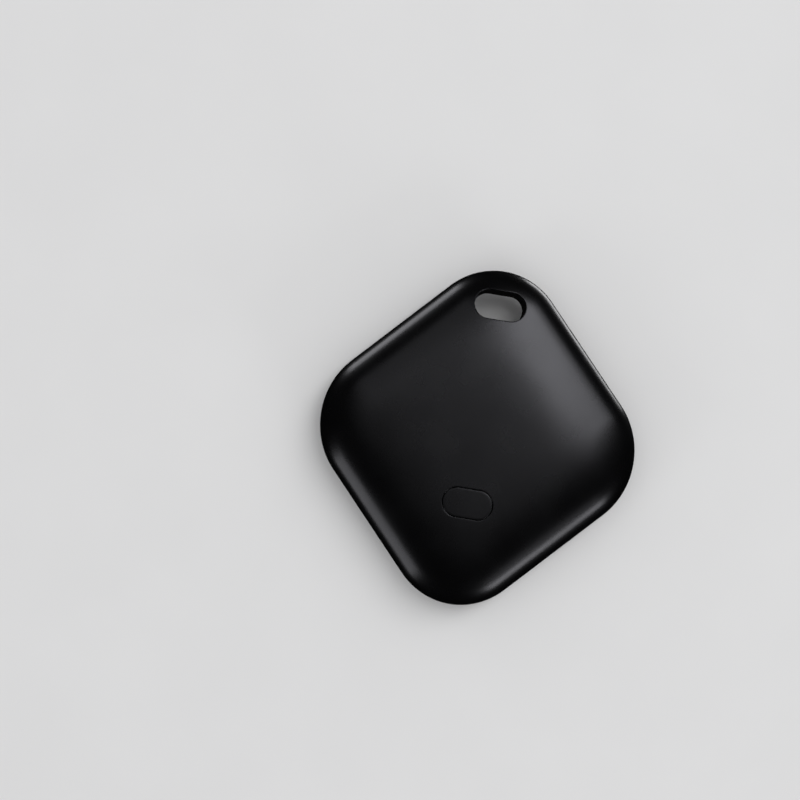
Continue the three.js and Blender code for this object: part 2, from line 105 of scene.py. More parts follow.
# Key-ring slot and button. A hole is its length, its width, the Y of its middle and its rim's radius.
SLOT_BOX = frame["record"]["physics"]["openings"][0]["box_m"]
SLOT_Y = (SLOT_BOX[0][1] + SLOT_BOX[1][1]) / 2 / MM
SLOT = (7.2, 4.15, SLOT_Y, 0.11)
BUTTON_LOW, BUTTON_HIGH = [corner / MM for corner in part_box("button_cap")]
BUTTON_Y = (BUTTON_LOW.y + BUTTON_HIGH.y) / 2
BUTTON_MIDDLE = (0.0, BUTTON_Y)
FLANGE_REACH = 0.7
BUTTON_LENGTH = BUTTON_HIGH.x - BUTTON_LOW.x - 2 * FLANGE_REACH
BUTTON_WIDTH = BUTTON_HIGH.y - BUTTON_LOW.y - 2 * FLANGE_REACH
BUTTON_GAP = 0.055
BUTTON_RIM = 0.08
BUTTON_HOLE = (BUTTON_LENGTH + 2 * BUTTON_GAP, BUTTON_WIDTH + 2 * BUTTON_GAP, BUTTON_Y, BUTTON_RIM)
FLANGE_Z = BUTTON_LOW.z + 0.1
FLANGE_THICKNESS = 0.25
FLANGE_PLAY = 0.15
GUIDE_WALL = 0.7
GUIDE_TOP_Z = 7.8
BORE_TOP_Z = 8.2
POST_RADIUS = 0.78

# Board, the stakes of the front cover that hold it and the frame, and the contacts below it.
BOARD_LOW_Z, BOARD_TOP_Z = heights("circuit_board")
STAKE_PLACES = [(14.8, 0.0), (-14.8, 0.0), (0.0, -15.6), (5.5, 12.0), (-5.5, 12.0)]
STAKE_LOW_Z = CASE_LOW.z
STAKE_HOLE = 0.9
SHEET = 0.12
CONTACT_WIDTH = 3.0
CONTACT_FOOT_Z = BOARD_LOW_Z - 0.02 - SHEET / 2

# Coin cell.
CELL_LOW_Z, CELL_TOP_Z = heights("cell_can")
CELL_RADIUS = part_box("cell_can")[1].x / MM
CAN_WALL = 0.25
CRIMP = 0.18
CRIMP_RADIUS = 9.0
CAP_RADIUS = 8.5
CAP_FLANGE = 9.3
CAP_STEP = 0.5

# Camera, floor and lights.
LENS = 65.5
EYE = (-9.46, 0.27, 211.60)
EYE_RIGHT = (0.98599, 0.16661, -0.00817)
EYE_FORWARD = (-0.01087, 0.01528, -0.99982)
FLOOR_METRES = 4.0
LIGHT_METRES = 1.0
ROOM_LIGHT = 0.55
ROOM_LIGHT_MIRRORED = 0.004

# ---- the outline and its heights

BLEND_START = 0.55
BLEND_END = 0.9
SHRINK_INSET = 8.0
FAR_OUT = 30.0
HALVINGS = 40


def side_coordinates(x, y):
    """Distances of a point from the middle towards two neighbouring sides."""
    p = np.abs(x / ACROSS + y / ALONG) / sqrt(2)
    q = np.abs(y / ALONG - x / ACROSS) / sqrt(2)
    return p, q


def exact_outwardness(x, y):
    """HALF_SIDE on the outline, and less by the inset inside it."""
    p, q = side_coordinates(x, y)
    past_corner = np.hypot(np.maximum(p - STRAIGHT, 0), np.maximum(q - STRAIGHT, 0))
    return STRAIGHT + past_corner + np.minimum(np.maximum(p, q) - STRAIGHT, 0)


def outwardness(x, y):
    """As exact_outwardness near the edge, with the contours rounding off towards the middle."""
    p, q = side_coordinates(x, y)
    squircle = (p ** 4 + q ** 4) ** 0.25
    t = np.clip((squircle / HALF_SIDE - BLEND_START) / (BLEND_END - BLEND_START), 0, 1)
    return squircle + (exact_outwardness(x, y) - squircle) * (t * t * (3 - 2 * t))


def dome_height(x, y, wall=0.0):
    """Height of the front dome, or with a wall thickness that of the surface inside it."""
    out = np.minimum((outwardness(x, y) + wall) / HALF_SIDE, 1)
    return PARTING_Z + (DOME_RISE - wall) * np.sqrt(1 - out ** DOME_POWER)


def rear_height(x, y):
    """Height of the rear face: flat in the middle, rolled up to the parting line."""
    inset = np.maximum(HALF_SIDE - exact_outwardness(x, y), 0)
    across = np.clip(1 - inset / REAR_ROUND, 0, 1)
    return PARTING_Z - PARTING_Z * np.sqrt(1 - across ** 2)


def outline(inset, count):
    """The outline moved in by an inset, as count points: four arcs, each followed by a side.

    Past SHRINK_INSET the corners would be too sharp, so there the outline shrinks as a whole."""
    offset = min(inset, SHRINK_INSET)
    shrink = (HALF_SIDE - inset) / (HALF_SIDE - offset)
    share = np.arange(count) / count * 4
    quarter = np.floor(share)
    within = share - quarter
    on_arc = np.minimum(within * 2, 1)
    on_side = np.maximum(within * 2 - 1, 0)
    tip = quarter * pi / 2
    angle = tip + (on_arc - 0.5) * pi / 2
    reach = STRAIGHT * sqrt(2)
    x = reach * (np.cos(tip) * (1 - on_side) - np.sin(tip) * on_side) + (CORNER - offset) * np.cos(angle)
    y = reach * (np.sin(tip) * (1 - on_side) + np.cos(tip) * on_side) + (CORNER - offset) * np.sin(angle)
    return np.column_stack([x * shrink * ACROSS, y * shrink * ALONG])


def room_outline(inset, count=360, rounding=0.8):
    """The outline at an inset, cut off by the line that walls off the slot's corner.

    Its radius at each angle is found by halving, and rounded corners lead on to the line."""
    angle = np.arange(count) / count * 2 * pi
    low = np.zeros(count)
    high = np.full(count, FAR_OUT)
    for _ in range(HALVINGS):
        middle = (low + high) / 2
        inside = exact_outwardness(middle * np.cos(angle), middle * np.sin(angle)) < HALF_SIDE - inset
        low = np.where(inside, middle, low)
        high = np.where(inside, high, middle)
    line = (WALL_LINE - inset) / np.maximum(np.sin(angle), 1e-3)
    blend = np.clip(0.5 + 0.5 * (line - low) / rounding, 0, 1)
    radius = line * (1 - blend) + low * blend - rounding * blend * (1 - blend)
    return np.column_stack([radius * np.cos(angle), radius * np.sin(angle)])


def stadium(length, width, y, offset=0.0, arc_steps=32, side_steps=12):
    """A stadium's outline moved out by an offset."""
    half = (length - width) / 2
    radius = width / 2 + offset
    points = []
    for sign in (1, -1):
        for k in range(arc_steps):
            angle = -pi / 2 + pi * k / arc_steps
            points.append((sign * (half + radius * cos(angle)), y + sign * radius * sin(angle)))
        for k in range(side_steps):
            points.append((sign * (half - 2 * half * k / side_steps), y + sign * radius))
    return np.array(points)


def button_outline(offset=0.0):
    return stadium(BUTTON_LENGTH, BUTTON_WIDTH, BUTTON_Y, offset)


def stadium_distance(x, y, length, width, centre_y):
    past = np.maximum(np.abs(x) - (length - width) / 2, 0)
    return np.hypot(past, y - centre_y) - width / 2


def rim_drop(distance, radius):
    """How far a rounded rim lies below the face, at a distance from the hole's wall."""
    inward = np.clip(radius - distance, 0, radius)
    return radius - np.sqrt(radius ** 2 - inward ** 2)


# ---- mesh helpers

SLIVER_AREA = 1e-5
WELD = 1e-7
AXIS = 0.02


def linked(name, data):
    made = bpy.data.objects.new(name, data)
    bpy.context.scene.collection.objects.link(made)
    return made


class Shell:
    """Vertices and faces in the making. Strips run between rings of one length."""

    def __init__(self):
        self.vertices = []
        self.faces = []

    def ring(self, points, heights):
        start = len(self.vertices)
        heights = np.broadcast_to(heights, len(points))
        self.vertices.extend((x, y, z) for (x, y), z in zip(points, heights))
        return list(range(start, len(self.vertices)))

    def strip(self, first, second):
        self.faces += zip(first, first[1:] + first[:1], second[1:] + second[:1], second)

    def stack(self, rings):
        """Strips between neighbouring (points, heights) rings."""
        made = [self.ring(points, heights) for points, heights in rings]
        for first, second in zip(made, made[1:]):
            self.strip(first, second)
        return made

    def fan(self, ring, x, y):
        """Triangles from a ring to a point at its mean height."""
        middle = len(self.vertices)
        heights = [self.vertices[k][2] for k in ring]
        self.vertices.append((x, y, sum(heights) / len(heights)))
        self.faces += [(here, after, middle) for here, after in zip(ring, ring[1:] + ring[:1])]

    def patch(self, loops, extra, height):
        """Triangles inside the first loop and outside the other loops, over extra points too.

        Every loop is convex, so a triangle with all its corners on one of the other loops is
        in that hole, and one with no area lies along a straight side."""
        points = []
        edges = []
        owner = []
        for index, loop in enumerate(loops):
            ring = list(range(len(points), len(points) + len(loop)))
            edges += zip(ring, ring[1:] + ring[:1])
            points += [tuple(p) for p in loop]
            owner += [index] * len(loop)
        points += [tuple(p) for p in extra]
        owner += [0] * len(extra)
        found, _, triangles, sources, _, _ = delaunay_2d_cdt([Vector(p) for p in points], edges, [], 0, WELD)
        flat = np.array([points[own[0]] if own else tuple(p) for p, own in zip(found, sources)])
        start = len(self.vertices)
        self.vertices.extend((x, y, z) for (x, y), z in zip(flat, height(*flat.T)))
        for triangle in triangles:
            a, b, c = flat[list(triangle)]
            area = abs((b[0] - a[0]) * (c[1] - a[1]) - (c[0] - a[0]) * (b[1] - a[1])) / 2
            owners = {owner[sources[k][0]] for k in triangle}
            in_hole = len(owners) == 1 and owners != {0}
            if area > SLIVER_AREA and not in_hole:
                self.faces.append(tuple(start + k for k in triangle))

    def made(self, name):
        """A mesh object in metres, welded, with its faces pointing out."""
        mesh = bpy.data.meshes.new(name)
        mesh.from_pydata([tuple(v * MM for v in vertex) for vertex in self.vertices], [], self.faces)
        work = bmesh.new()
        work.from_mesh(mesh)
        bmesh.ops.remove_doubles(work, verts=work.verts, dist=WELD)
        bmesh.ops.dissolve_degenerate(work, edges=work.edges, dist=WELD)
        bmesh.ops.recalc_face_normals(work, faces=work.faces)
        work.to_mesh(mesh)
        work.free()
        return linked(name, mesh)


def lofted(name, rings, centre=ORIGIN, closed=False):
    """A closed body through (points, heights) rings, with a fan at each end unless it is closed."""
    shell = Shell()
    rings = shell.stack(rings)
    if closed:
        shell.strip(rings[-1], rings[0])
    else:
        shell.fan(rings[0], *centre)
        shell.fan(rings[-1], *centre)
    return shell.made(name)


def swept(name, rings):
    """A closed body through rings of [x, y, z] vertices, with a flat face at each end."""
    shell = Shell()
    rings = shell.stack([([v[:2] for v in ring], [v[2] for v in ring]) for ring in rings])
    shell.faces += [tuple(rings[0]), tuple(rings[-1])]
    return shell.made(name)


def modified(piece, kind, **settings):
    modifier = piece.modifiers.new(kind, kind)
    for key, value in settings.items():
        setattr(modifier, key, value)
    depsgraph = bpy.context.evaluated_depsgraph_get()
    piece.data = bpy.data.meshes.new_from_object(piece.evaluated_get(depsgraph))
    piece.modifiers.clear()


def add(piece, *bodies, operation="UNION"):
    """Joins bodies to a piece in turn, and deletes them."""
    for body in bodies:
        modified(piece, "BOOLEAN", operation=operation, solver="EXACT", object=body)
        bpy.data.objects.remove(body)


def cut(piece, *bodies):
    add(piece, *bodies, operation="DIFFERENCE")


def bevel(piece, width, angle=30):
    limit = radians(angle)
    modified(piece, "BEVEL", width=width * MM, segments=2, limit_method="ANGLE", angle_limit=limit)


def shade(piece, angle=32, flat=False):
    """Smooth shading up to an angle. flat keeps large flat faces flat beside their bevels."""
    piece.data.polygons.foreach_set("use_smooth", [True] * len(piece.data.polygons))
    piece.data.set_sharp_from_angle(angle=radians(angle))
    if flat:
        modified(piece, "WEIGHTED_NORMAL", keep_sharp=True)
    return piece


def placed(middle, turn, x, y):
    """A point given along axes turned about Z through a middle."""
    cosine = cos(radians(turn))
    sine = sin(radians(turn))
    return middle[0] + x * cosine - y * sine, middle[1] + x * sine + y * cosine


def turned(name, profile, middle=ORIGIN, steps=128, closed=False):
    """A solid of revolution through [radius, height] corners."""
    angle = np.arange(steps) / steps * 2 * pi
    rings = []
    for radius, z in profile:
        circle = np.column_stack([middle[0] + radius * np.cos(angle), middle[1] + radius * np.sin(angle)])
        rings.append((circle, z))
    return lofted(name, rings, middle, closed)


def disc(name, radius, middle, low, high, steps=96):
    return turned(name, [(radius, low), (radius, high)], middle, steps)


def prism(name, points, low, high, centre=ORIGIN):
    return lofted(name, [(points, low), (points, high)], centre)


def rectangle(length, width, middle, turn):
    corners = [(-1, -1), (1, -1), (1, 1), (-1, 1)]
    return np.array([placed(middle, turn, x * length / 2, y * width / 2) for x, y in corners])


def block(name, size, centre, low, high, turn=0.0):
    return prism(name, rectangle(*size, centre, turn), low, high, centre)


def slab(name, size, centre, low, high, turn=0.0, radius=0.05):
    """A block with rounded edges."""
    piece = block(name, size, centre, low, high, turn)
    bevel(piece, radius)
    return piece


def room_loft(name, levels, centre=(0.0, -1.0)):
    """A body through rings of the inner outline, each an inset and a height."""
    return lofted(name, [(room_outline(inset), z) for inset, z in levels], centre)


def room_plate(name, inset, low, high, edge):
    """A plate of the inner outline with broken edges. Its middle is clear of the holes' axes."""
    levels = [(inset + edge, low), (inset, low + edge), (inset, high - edge), (inset + edge, high)]
    return room_loft(name, levels, (0.05, -1.03))


def rounded_path(points, radius, closed=False, steps=4):
    """A line of points with its corners replaced by short curves."""
    points = [np.array(point, float) for point in points]
    last = len(points) - 1
    path = []
    for k, here in enumerate(points):
        if not closed and k in (0, last):
            path.append(here)
            continue
        sides = [points[k - 1] - here, points[k - last] - here]
        reaches = [np.linalg.norm(side) for side in sides]
        bend = min(radius, 0.45 * min(reaches))
        start, end = [here + side / reach * bend for side, reach in zip(sides, reaches)]
        for step in range(steps + 1):
            t = step / steps
            path.append(start * (1 - t) ** 2 + here * 2 * t * (1 - t) + end * t ** 2)
    return path


def path_normals(path):
    """A unit vector square to the path at each of its points."""
    path = np.array(path)
    ahead = np.vstack([path[1:], path[-1:]]) - np.vstack([path[:1], path[:-1]])
    ahead /= np.linalg.norm(ahead, axis=1)[:, None]
    return np.column_stack([-ahead[:, 1], ahead[:, 0]])


def ribbon(name, corners, bend, width, low, high):
    """A flat line along [x, y] corners."""
    path = rounded_path(corners, bend)
    rings = []
    for spot, normal in zip(path, path_normals(path)):
        left = spot + normal * width / 2
        right = spot - normal * width / 2
        rings.append([(*left, low), (*right, low), (*right, high), (*left, high)])
    return swept(name, rings)


def leaf(name, corners, thickness, width, centre=ORIGIN, turn=0.0, bend=0.25, tip_share=1.0):
    """Sheet metal bent along [x, z] corners, with rounded edges. The first corner is its tip."""
    path = rounded_path(corners, bend)
    edge = 0.35 * thickness / width
    section = []
    for across, through in ((-1, -1), (1, -1), (1, 1), (-1, 1)):
        pair = [(across, 0.4 * through), (across * (1 - edge), through)]
        section += pair if across * through > 0 else pair[::-1]
    rings = []
    for k, ((x, z), (normal_x, normal_z)) in enumerate(zip(path, path_normals(path))):
        share = tip_share + (1 - tip_share) * min(1.0, 2.5 * k / len(path))
        ring = []
        for across, through in section:
            depth = through * thickness / 2
            spot = placed(centre, turn, x + normal_x * depth, across * share * width / 2)
            ring.append((*spot, z + normal_z * depth))
        rings.append(ring)
    return swept(name, rings)


def joined(name, parts, angle=35, flat=True):
    """One shaded object of several bodies, given as (body, material name) pairs."""
    materials = list(dict.fromkeys(material for _, material in parts))
    work = bmesh.new()
    for body, material in parts:
        start = len(work.faces)
        work.from_mesh(body.data)
        work.faces.ensure_lookup_table()
        for face in work.faces[start:]:
            face.material_index = materials.index(material)
        bpy.data.objects.remove(body)
    mesh = bpy.data.meshes.new(name)
    work.to_mesh(mesh)
    work.free()
    for material in materials:
        mesh.materials.append(MATERIALS[material])
    return shade(linked(name, mesh), angle, flat)


def measured(node, turn=0.0):
    """Middle, size, low z and high z of a CAD node, its size along axes turned about Z."""
    corners = np.array([vertex.co for vertex in frame["nodes"][node].data.vertices]) / MM
    spans = placed(ORIGIN, -turn, corners[:, 0], corners[:, 1])
    middle = placed(ORIGIN, turn, *[(span.min() + span.max()) / 2 for span in spans])
    size = tuple(span.max() - span.min() for span in spans)
    return middle, size, corners[:, 2].min(), corners[:, 2].max()


# ---- the case

EDGE_COUNT = 480
BAND_INSET = 1.5
FACE_SPACING = 0.42
ROW_SHARE = 0.87
SHARPEST = 2.5
HOLE_MARGIN = 0.55


def contour_points(first, last, spacing, clear_of_holes):
    """Points along nested outlines, apart from those near a hole, which has its own loops."""
    points = []
    inset = first
    while inset < last:
        corner = pi / 2 * max(CORNER - inset, SHARPEST)
        length = 4 * (2 * STRAIGHT + corner) * (HALF_SIDE - inset) / HALF_SIDE
        count = max(8, 4 * round(length / spacing / 4))
        points.extend(p for p in outline(inset, count) if clear_of_holes(p[0], p[1]))
        inset += spacing * ROW_SHARE
    return points


def case_half(name, height, holes, parting_z, band_insets):
    """A closed solid between the parting plane and a face, with rounded rims round its holes.

    Rings at the band's insets roll from the parting plane on to the face."""
    sign = 1 if height(0.0, 0.0) > parting_z else -1

    def face(x, y):
        drop = sum(rim_drop(stadium_distance(x, y, *sizes), rim) for *sizes, rim in holes)
        return height(x, y) - sign * drop

    def clear_of_holes(x, y):
        return all(stadium_distance(x, y, *sizes) > rim + HOLE_MARGIN for *sizes, rim in holes)

    broken = outline(EDGE_BREAK, EDGE_COUNT)
    band = [(broken, parting_z)]
    for inset, lift in ((0.03, 0.03), (0.0, EDGE_BREAK)):
        band.append((outline(inset, EDGE_COUNT), parting_z + sign * lift))
    for inset in band_insets:
        points = outline(inset, EDGE_COUNT)
        band.append((points, height(*points.T)))
    shell = Shell()
    shell.stack(band)
    loops = [outline(band_insets[-1], EDGE_COUNT)]
    extra = contour_points(band_insets[-1] + 0.3, HALF_SIDE - 0.2, FACE_SPACING, clear_of_holes)
    for *sizes, rim in holes:
        loops.append(stadium(*sizes))
        offsets = [rim * (1 - cos(radians(turn))) for turn in range(15, 91, 15)] + [rim + 0.15, rim + 0.375]
        extra.extend(point for offset in offsets for point in stadium(*sizes, offset))
    shell.patch(loops, extra, face)
    plane_loops = [broken]
    for *sizes, _ in holes:
        wall = stadium(*sizes)
        top = face(*wall.T)
        mouth = stadium(*sizes, EDGE_BREAK)
        walls = [(wall, top + (parting_z - top) * share) for share in (0, 0.25, 0.5, 0.75)]
        shell.stack([*walls, (wall, parting_z + sign * EDGE_BREAK), (mouth, parting_z)])
        plane_loops.append(mouth)
    shell.patch(plane_loops, [], lambda x, y: np.full_like(x, parting_z))
    return shell.made(name)


def dome_band():
    """Insets of the rings from the parting line up the dome, in even turns, to BAND_INSET."""
    insets = []
    turn = 4.0
    while True:
        inset = HALF_SIDE * (1 - cos(radians(turn)) ** (2 / DOME_POWER))
        if inset > BAND_INSET:
            return insets
        insets.append(inset)
        turn += 1.6


def rear_band():
    return [REAR_ROUND * (1 - cos(radians(turn))) for turn in np.arange(3.0, 46.0, 2.0)]


def upper_room():
    """The space over the board, under the front dome."""
    rings = [(room_outline(UPPER_INSET), 0.0)]
    for inset in (UPPER_INSET, 3.2, 3.8, 4.5, 5.5, 6.5, 8.0, 10.0, 12.0, 14.0):
        points = room_outline(inset)
        rings.append((points, dome_height(*points.T, FRONT_WALL)))
    return lofted("upper_room", rings)


def stakes():
    """Heat stakes: a boss that stops the board, a pin, and its melted head below the frame."""
    low = STAKE_LOW_Z
    stop = BOARD_TOP_Z + 0.02
    made = []
    for x, y in STAKE_PLACES:
        top = float(dome_height(np.array(x), np.array(y), FRONT_WALL)) + 0.3
        head = [(AXIS, low), (0.7, low + 0.03), (1.1, low + 0.14), (1.25, low + 0.38)]
        pin = [(0.8, low + 0.4), (0.8, stop)]
        boss = [(1.7, stop), (1.7, top), (AXIS, top)]
        made.append(turned("stake", head + pin + boss, (x, y), 40))
    return made


def button_room(offset, low, high):
    """A prism of the button's outline moved out by an offset."""
    return prism("button_room", button_outline(offset), low, high, BUTTON_MIDDLE)


def front_cover():
    """The domed half, hollowed, with the button's guide and hole, and the heat stakes."""
    cover = case_half("cover_front", dome_height, [SLOT, BUTTON_HOLE], PARTING_Z + PARTING_GAP, dome_band())
    cut(cover, room_loft("lower_room", [(EDGE_WALL, 0.0), (EDGE_WALL, SEAL_SEAT_Z)]), upper_room())
    add(cover, button_room(FLANGE_REACH + FLANGE_PLAY + GUIDE_WALL, FLANGE_Z - 0.3, GUIDE_TOP_Z))
    flange_room = button_room(FLANGE_REACH + FLANGE_PLAY, 0.0, FLANGE_Z + FLANGE_THICKNESS + 0.05)
    bore = button_room(BUTTON_GAP + 0.002, 0.0, BORE_TOP_Z)
    cut(cover, flange_room, bore)
    add(cover, *stakes())
    return shade(cover)


def rear_cover():
    """The flat half, with a skirt that fits in the front cover, a tray and an opening notch."""
    top_z = PARTING_Z - PARTING_GAP
    cover = case_half("cover_rear", rear_height, [SLOT], top_z, rear_band())
    skirt = room_loft("skirt", [
        (SKIRT_INSET, top_z - 0.5), (SKIRT_INSET, SKIRT_TOP_Z - 0.15), (SKIRT_INSET + 0.15, SKIRT_TOP_Z),
    ])
    tray = room_loft("tray", [
        (TRAY_INSET + 0.8, REAR_FLOOR_Z), (TRAY_INSET + 0.25, REAR_FLOOR_Z + 0.25),
        (TRAY_INSET, REAR_FLOOR_Z + 0.8), (TRAY_INSET, SKIRT_TOP_Z + 1.0),
    ])
    notch = block("notch", (6.0, 1.8), (0.0, -TIP * ALONG), top_z - 0.8, top_z + 1.0)
    add(cover, skirt)
    cut(cover, tray, notch)
    stiffen_tray(cover)
    return shade(cover)


def stiffen_tray(cover):
    """Ribs round the cell's place on the tray's floor, a groove round the foam, ejector marks."""
    floor = REAR_FLOOR_Z
    length = RIB_END - RIB_START
    for angle in range(-195, 16, 30):
        spot = placed(ORIGIN, angle, (RIB_START + RIB_END) / 2, 0.0)
        add(cover, lofted("rib", [
            (rectangle(length, 0.7, spot, angle), floor - 0.2),
            (rectangle(length - 0.3, 0.5, spot, angle), floor + RIB_HEIGHT),
        ], spot))
    pad_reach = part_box("cell_pad")[1].x / MM
    cut(cover, turned("groove", [
        (pad_reach + 0.35, floor - 0.12), (pad_reach + 0.55, floor - 0.12),
        (pad_reach + 0.65, floor + 0.5), (pad_reach + 0.25, floor + 0.5),
    ], closed=True))
    for angle in (-180, -90, 0):
        cut(cover, disc("ejector_mark", 0.9, placed(ORIGIN, angle, 17.0, 0.0), floor - 0.05, floor + 2, 48))


def button_cap():
    """A stem with the dome's own surface on top, a retaining flange and a post."""
    rings = []
    for share in (0.15, 0.35, 0.55, 0.75, 0.9):
        points = (button_outline(-BUTTON_RIM) - BUTTON_MIDDLE) * share + BUTTON_MIDDLE
        rings.append((points, dome_height(*points.T)))
    for turn in range(90, -1, -15):
        points = button_outline(-BUTTON_RIM * (1 - cos(radians(turn))))
        drop = BUTTON_RIM * (1 - sin(radians(turn)))
        rings.append((points, dome_height(*points.T) - drop))
    top = FLANGE_Z + FLANGE_THICKNESS
    flange = [
        (0.0, top), (FLANGE_REACH - 0.05, top), (FLANGE_REACH, top - 0.05),
        (FLANGE_REACH, FLANGE_Z + 0.05), (FLANGE_REACH - 0.05, FLANGE_Z),
    ]
    rings += [(button_outline(offset), z) for offset, z in flange]
    cap = lofted("cap_button", rings, BUTTON_MIDDLE)
    add(cap, disc("post", POST_RADIUS, BUTTON_MIDDLE, BUTTON_LOW.z, FLANGE_Z + 0.1, 48))
    return shade(cap)


def seal_ring():
    """A rounded rectangular section swept round the inner outline."""
    low, high = heights("seal_ring")
    middle_inset = (EDGE_WALL + 0.15 + TRAY_INSET + 0.05) / 2
    half_width = middle_inset - EDGE_WALL - 0.15
    rings = []
    for k in range(20):
        angle = 2 * pi * k / 20
        across, up = [copysign(abs(value) ** 0.6, value) for value in (cos(angle), sin(angle))]
        z = (low + high) / 2 + (high - low) / 2 * up
        rings.append((room_outline(middle_inset + half_width * across), z))
    return shade(lofted("ring_seal", rings, closed=True), 60)


# ---- frame, board and contacts


def drill_stake_holes(piece, low, high):
    cut(piece, *[disc("drill", STAKE_HOLE, spot, low, high, 40) for spot in STAKE_PLACES])


def battery_frame():
    """A plate with a cup for the cell on four ribs, windows for the contacts and stake holes."""
    low, high = heights("battery_frame")
    plate_low = PARTING_Z
    overlap_z = plate_low + 0.3
    cup_inner, cup_outer, lip_inner, lip_z = 10.35, 11.3, 9.1, 4.65
    rib_reach, rib_width, rib_low = 14.4, 0.9, 2.4
    piece = room_plate("frame_battery", FRAME_INSET, plate_low, high, 0.12)
    add(piece, disc("cup", cup_outer, ORIGIN, low, overlap_z, 160))
    for turn in range(45, 360, 90):
        middle = placed(ORIGIN, turn, rib_reach / 2, 0.0)
        add(piece, block("rib", (rib_reach, rib_width), middle, rib_low, overlap_z, turn))
    bore = turned("bore", [
        (AXIS, low - 1), (cup_inner + 0.35, low - 1), (cup_inner + 0.35, low), (cup_inner, low + 0.35),
        (cup_inner, lip_z), (lip_inner, lip_z), (lip_inner, high - 0.25), (lip_inner + 0.25, high),
        (lip_inner + 0.25, high + 1), (AXIS, high + 1),
    ], steps=160)
    cut(piece, bore, *[block("window", (3.2, 3.6), (x, 0.0), low - 1, high + 1) for x in (11.4, -11.4)])
    drill_stake_holes(piece, low, high + 1)
    for x, y in ((7.0, 12.2), (9.0, -10.6), (16.6, 0.0)):
        for side in (1, -1):
            cut(piece, disc("ejector_mark", 0.75, (side * x, y), plate_low - 1, plate_low + 0.06, 32))
    bevel(piece, 0.06, 50)
    return shade(piece, 40, flat=True)


def contact_pads():
    """Bare pads on the underside for the contacts' feet, and a row of test points."""
    low, high = BOARD_LOW_Z - 0.015, BOARD_LOW_Z + 0.005
    pads = []
    for side in (1, -1):
        for x, length in ((11.75, 2.2), (5.85, 1.9)):
            pads.append(slab("pad", (length, 3.4), (side * x, 0.0), low, high, radius=0.004))
    return pads + [disc("test_point", 0.45, (-3.75 + 1.5 * k, -6.4), low, high, 32) for k in range(6)]


def vias():
    """Plated holes stitched round the edge, as rings proud of both faces."""
    made = []
    for spot in room_outline(VIA_INSET, VIA_COUNT):
        for face, proud in ((BOARD_LOW_Z, -0.01), (BOARD_TOP_Z, 0.01)):
            low, high = sorted((face - proud / 2, face + proud))
            section = [(0.12, low), (0.24, low), (0.24, high), (0.12, high)]
            if min(dist(spot, stake) for stake in STAKE_PLACES) > VIA_CLEARANCE:
                made.append(turned("via", section, spot, 16, closed=True))
    return made


def traces():
    """Copper tracks that show as low ridges under the mask, on the underside and on top."""
    made = []
    low, high = BOARD_LOW_Z - 0.012, BOARD_LOW_Z + 0.005
    for side in (1, -1):
        for k in range(4):
            y = -8.2 - 0.3 * k
            start_x = side * (13.2 + 0.4 * k)
            bend_x = side * (9.4 + 0.4 * k)
            end_x = side * (3.0 + 0.5 * k)
            corners = [(start_x, -1.2), (start_x, y + 4.2), (bend_x, y), (end_x, y), (end_x, -7.1)]
            made.append(ribbon("trace", corners, 0.4, 0.18, low, high))
        corners = [(side * x, y) for x, y in ((6.2, 1.9), (6.2, 6.4), (3.4, 9.6), (3.4, 11.0))]
        made.append(ribbon("trace", corners, 0.5, 0.3, low, high))
    low, high = BOARD_TOP_Z - 0.005, BOARD_TOP_Z + 0.012
    for k in range(6):
        y = -4.5 + 0.6 * k
        corners = [(-3.4, y), (1.0 + 0.4 * k, y), (5.6, y + 0.2), (7.4, y + 0.2)]
        made.append(ribbon("trace", corners, 0.5, 0.16, low, high))
    for k in range(4):
        x = -4.6 - 0.7 * k
        corners = [(x, -0.6), (x, 0.8), (x + 0.4, 1.4), (x + 0.4, 4.0)]
        made.append(ribbon("trace", corners, 0.3, 0.16, low, high))
    return made


def circuit_board():
    """The board with tracks, pads and plated holes, and bare laminate round its edge."""
    body = room_plate("board_body", BOARD_INSET, BOARD_LOW_Z, BOARD_TOP_Z, 0.04)
    drill_stake_holes(body, BOARD_LOW_Z - 1, BOARD_TOP_Z + 1)
    parts = [(body, "board_mask")]
    parts += [(body, "track_mask") for body in traces()]
    parts += [(body, "gold") for body in contact_pads() + vias()]
    board = joined("board_circuit", parts, 30)
    board.data.materials.append(MATERIALS["laminate"])
    for face in board.data.polygons:
        inside = BOARD_LOW_Z + 0.03 < face.center.z / MM < BOARD_TOP_Z - 0.03
        if inside and abs(face.normal.z) < 0.5:
            face.material_index = len(board.data.materials) - 1
    return board


def positive_contact(name, turn):
    """A leaf beside the cell that bulges in to its rim, with a slot pierced down its middle."""
    touch = CELL_RADIUS + 0.12
    corners = [
        (touch + 0.63, 1.9), (touch + 0.28, 2.4), (touch, 3.0), (touch, 3.4),
        (touch + 0.38, 4.1), (touch + 0.5, CONTACT_FOOT_Z), (touch + 2.48, CONTACT_FOOT_Z),
    ]
    piece = leaf(name, corners, SHEET, CONTACT_WIDTH, turn=turn, bend=0.3, tip_share=0.7)
    cut(piece, block("slot", (2.4, 0.7), placed(ORIGIN, turn, touch, 0.0), 2.3, 4.3, turn))
    return shade(piece, 40)


def negative_contact():
    """A bow under the board that presses on the middle of the cell, with two oval openings."""
    touch = CELL_TOP_Z + 0.04 + SHEET / 2
    foot = CONTACT_FOOT_Z
    corners = [(-6.6, foot), (-5, foot), (-1, touch), (1, touch), (5, foot), (6.6, foot)]
    piece = leaf("contact_negative", corners, SHEET, CONTACT_WIDTH, bend=0.6)
    opening = stadium(2.4, 0.8, 0.0, arc_steps=10, side_steps=1)
    cut(piece, *[prism("opening", opening + (x, 0.0), 4.0, 6.0, (x, 0.0)) for x in (3.0, -3.0)])
    return shade(piece, 40)


# ---- coin cell and its pad


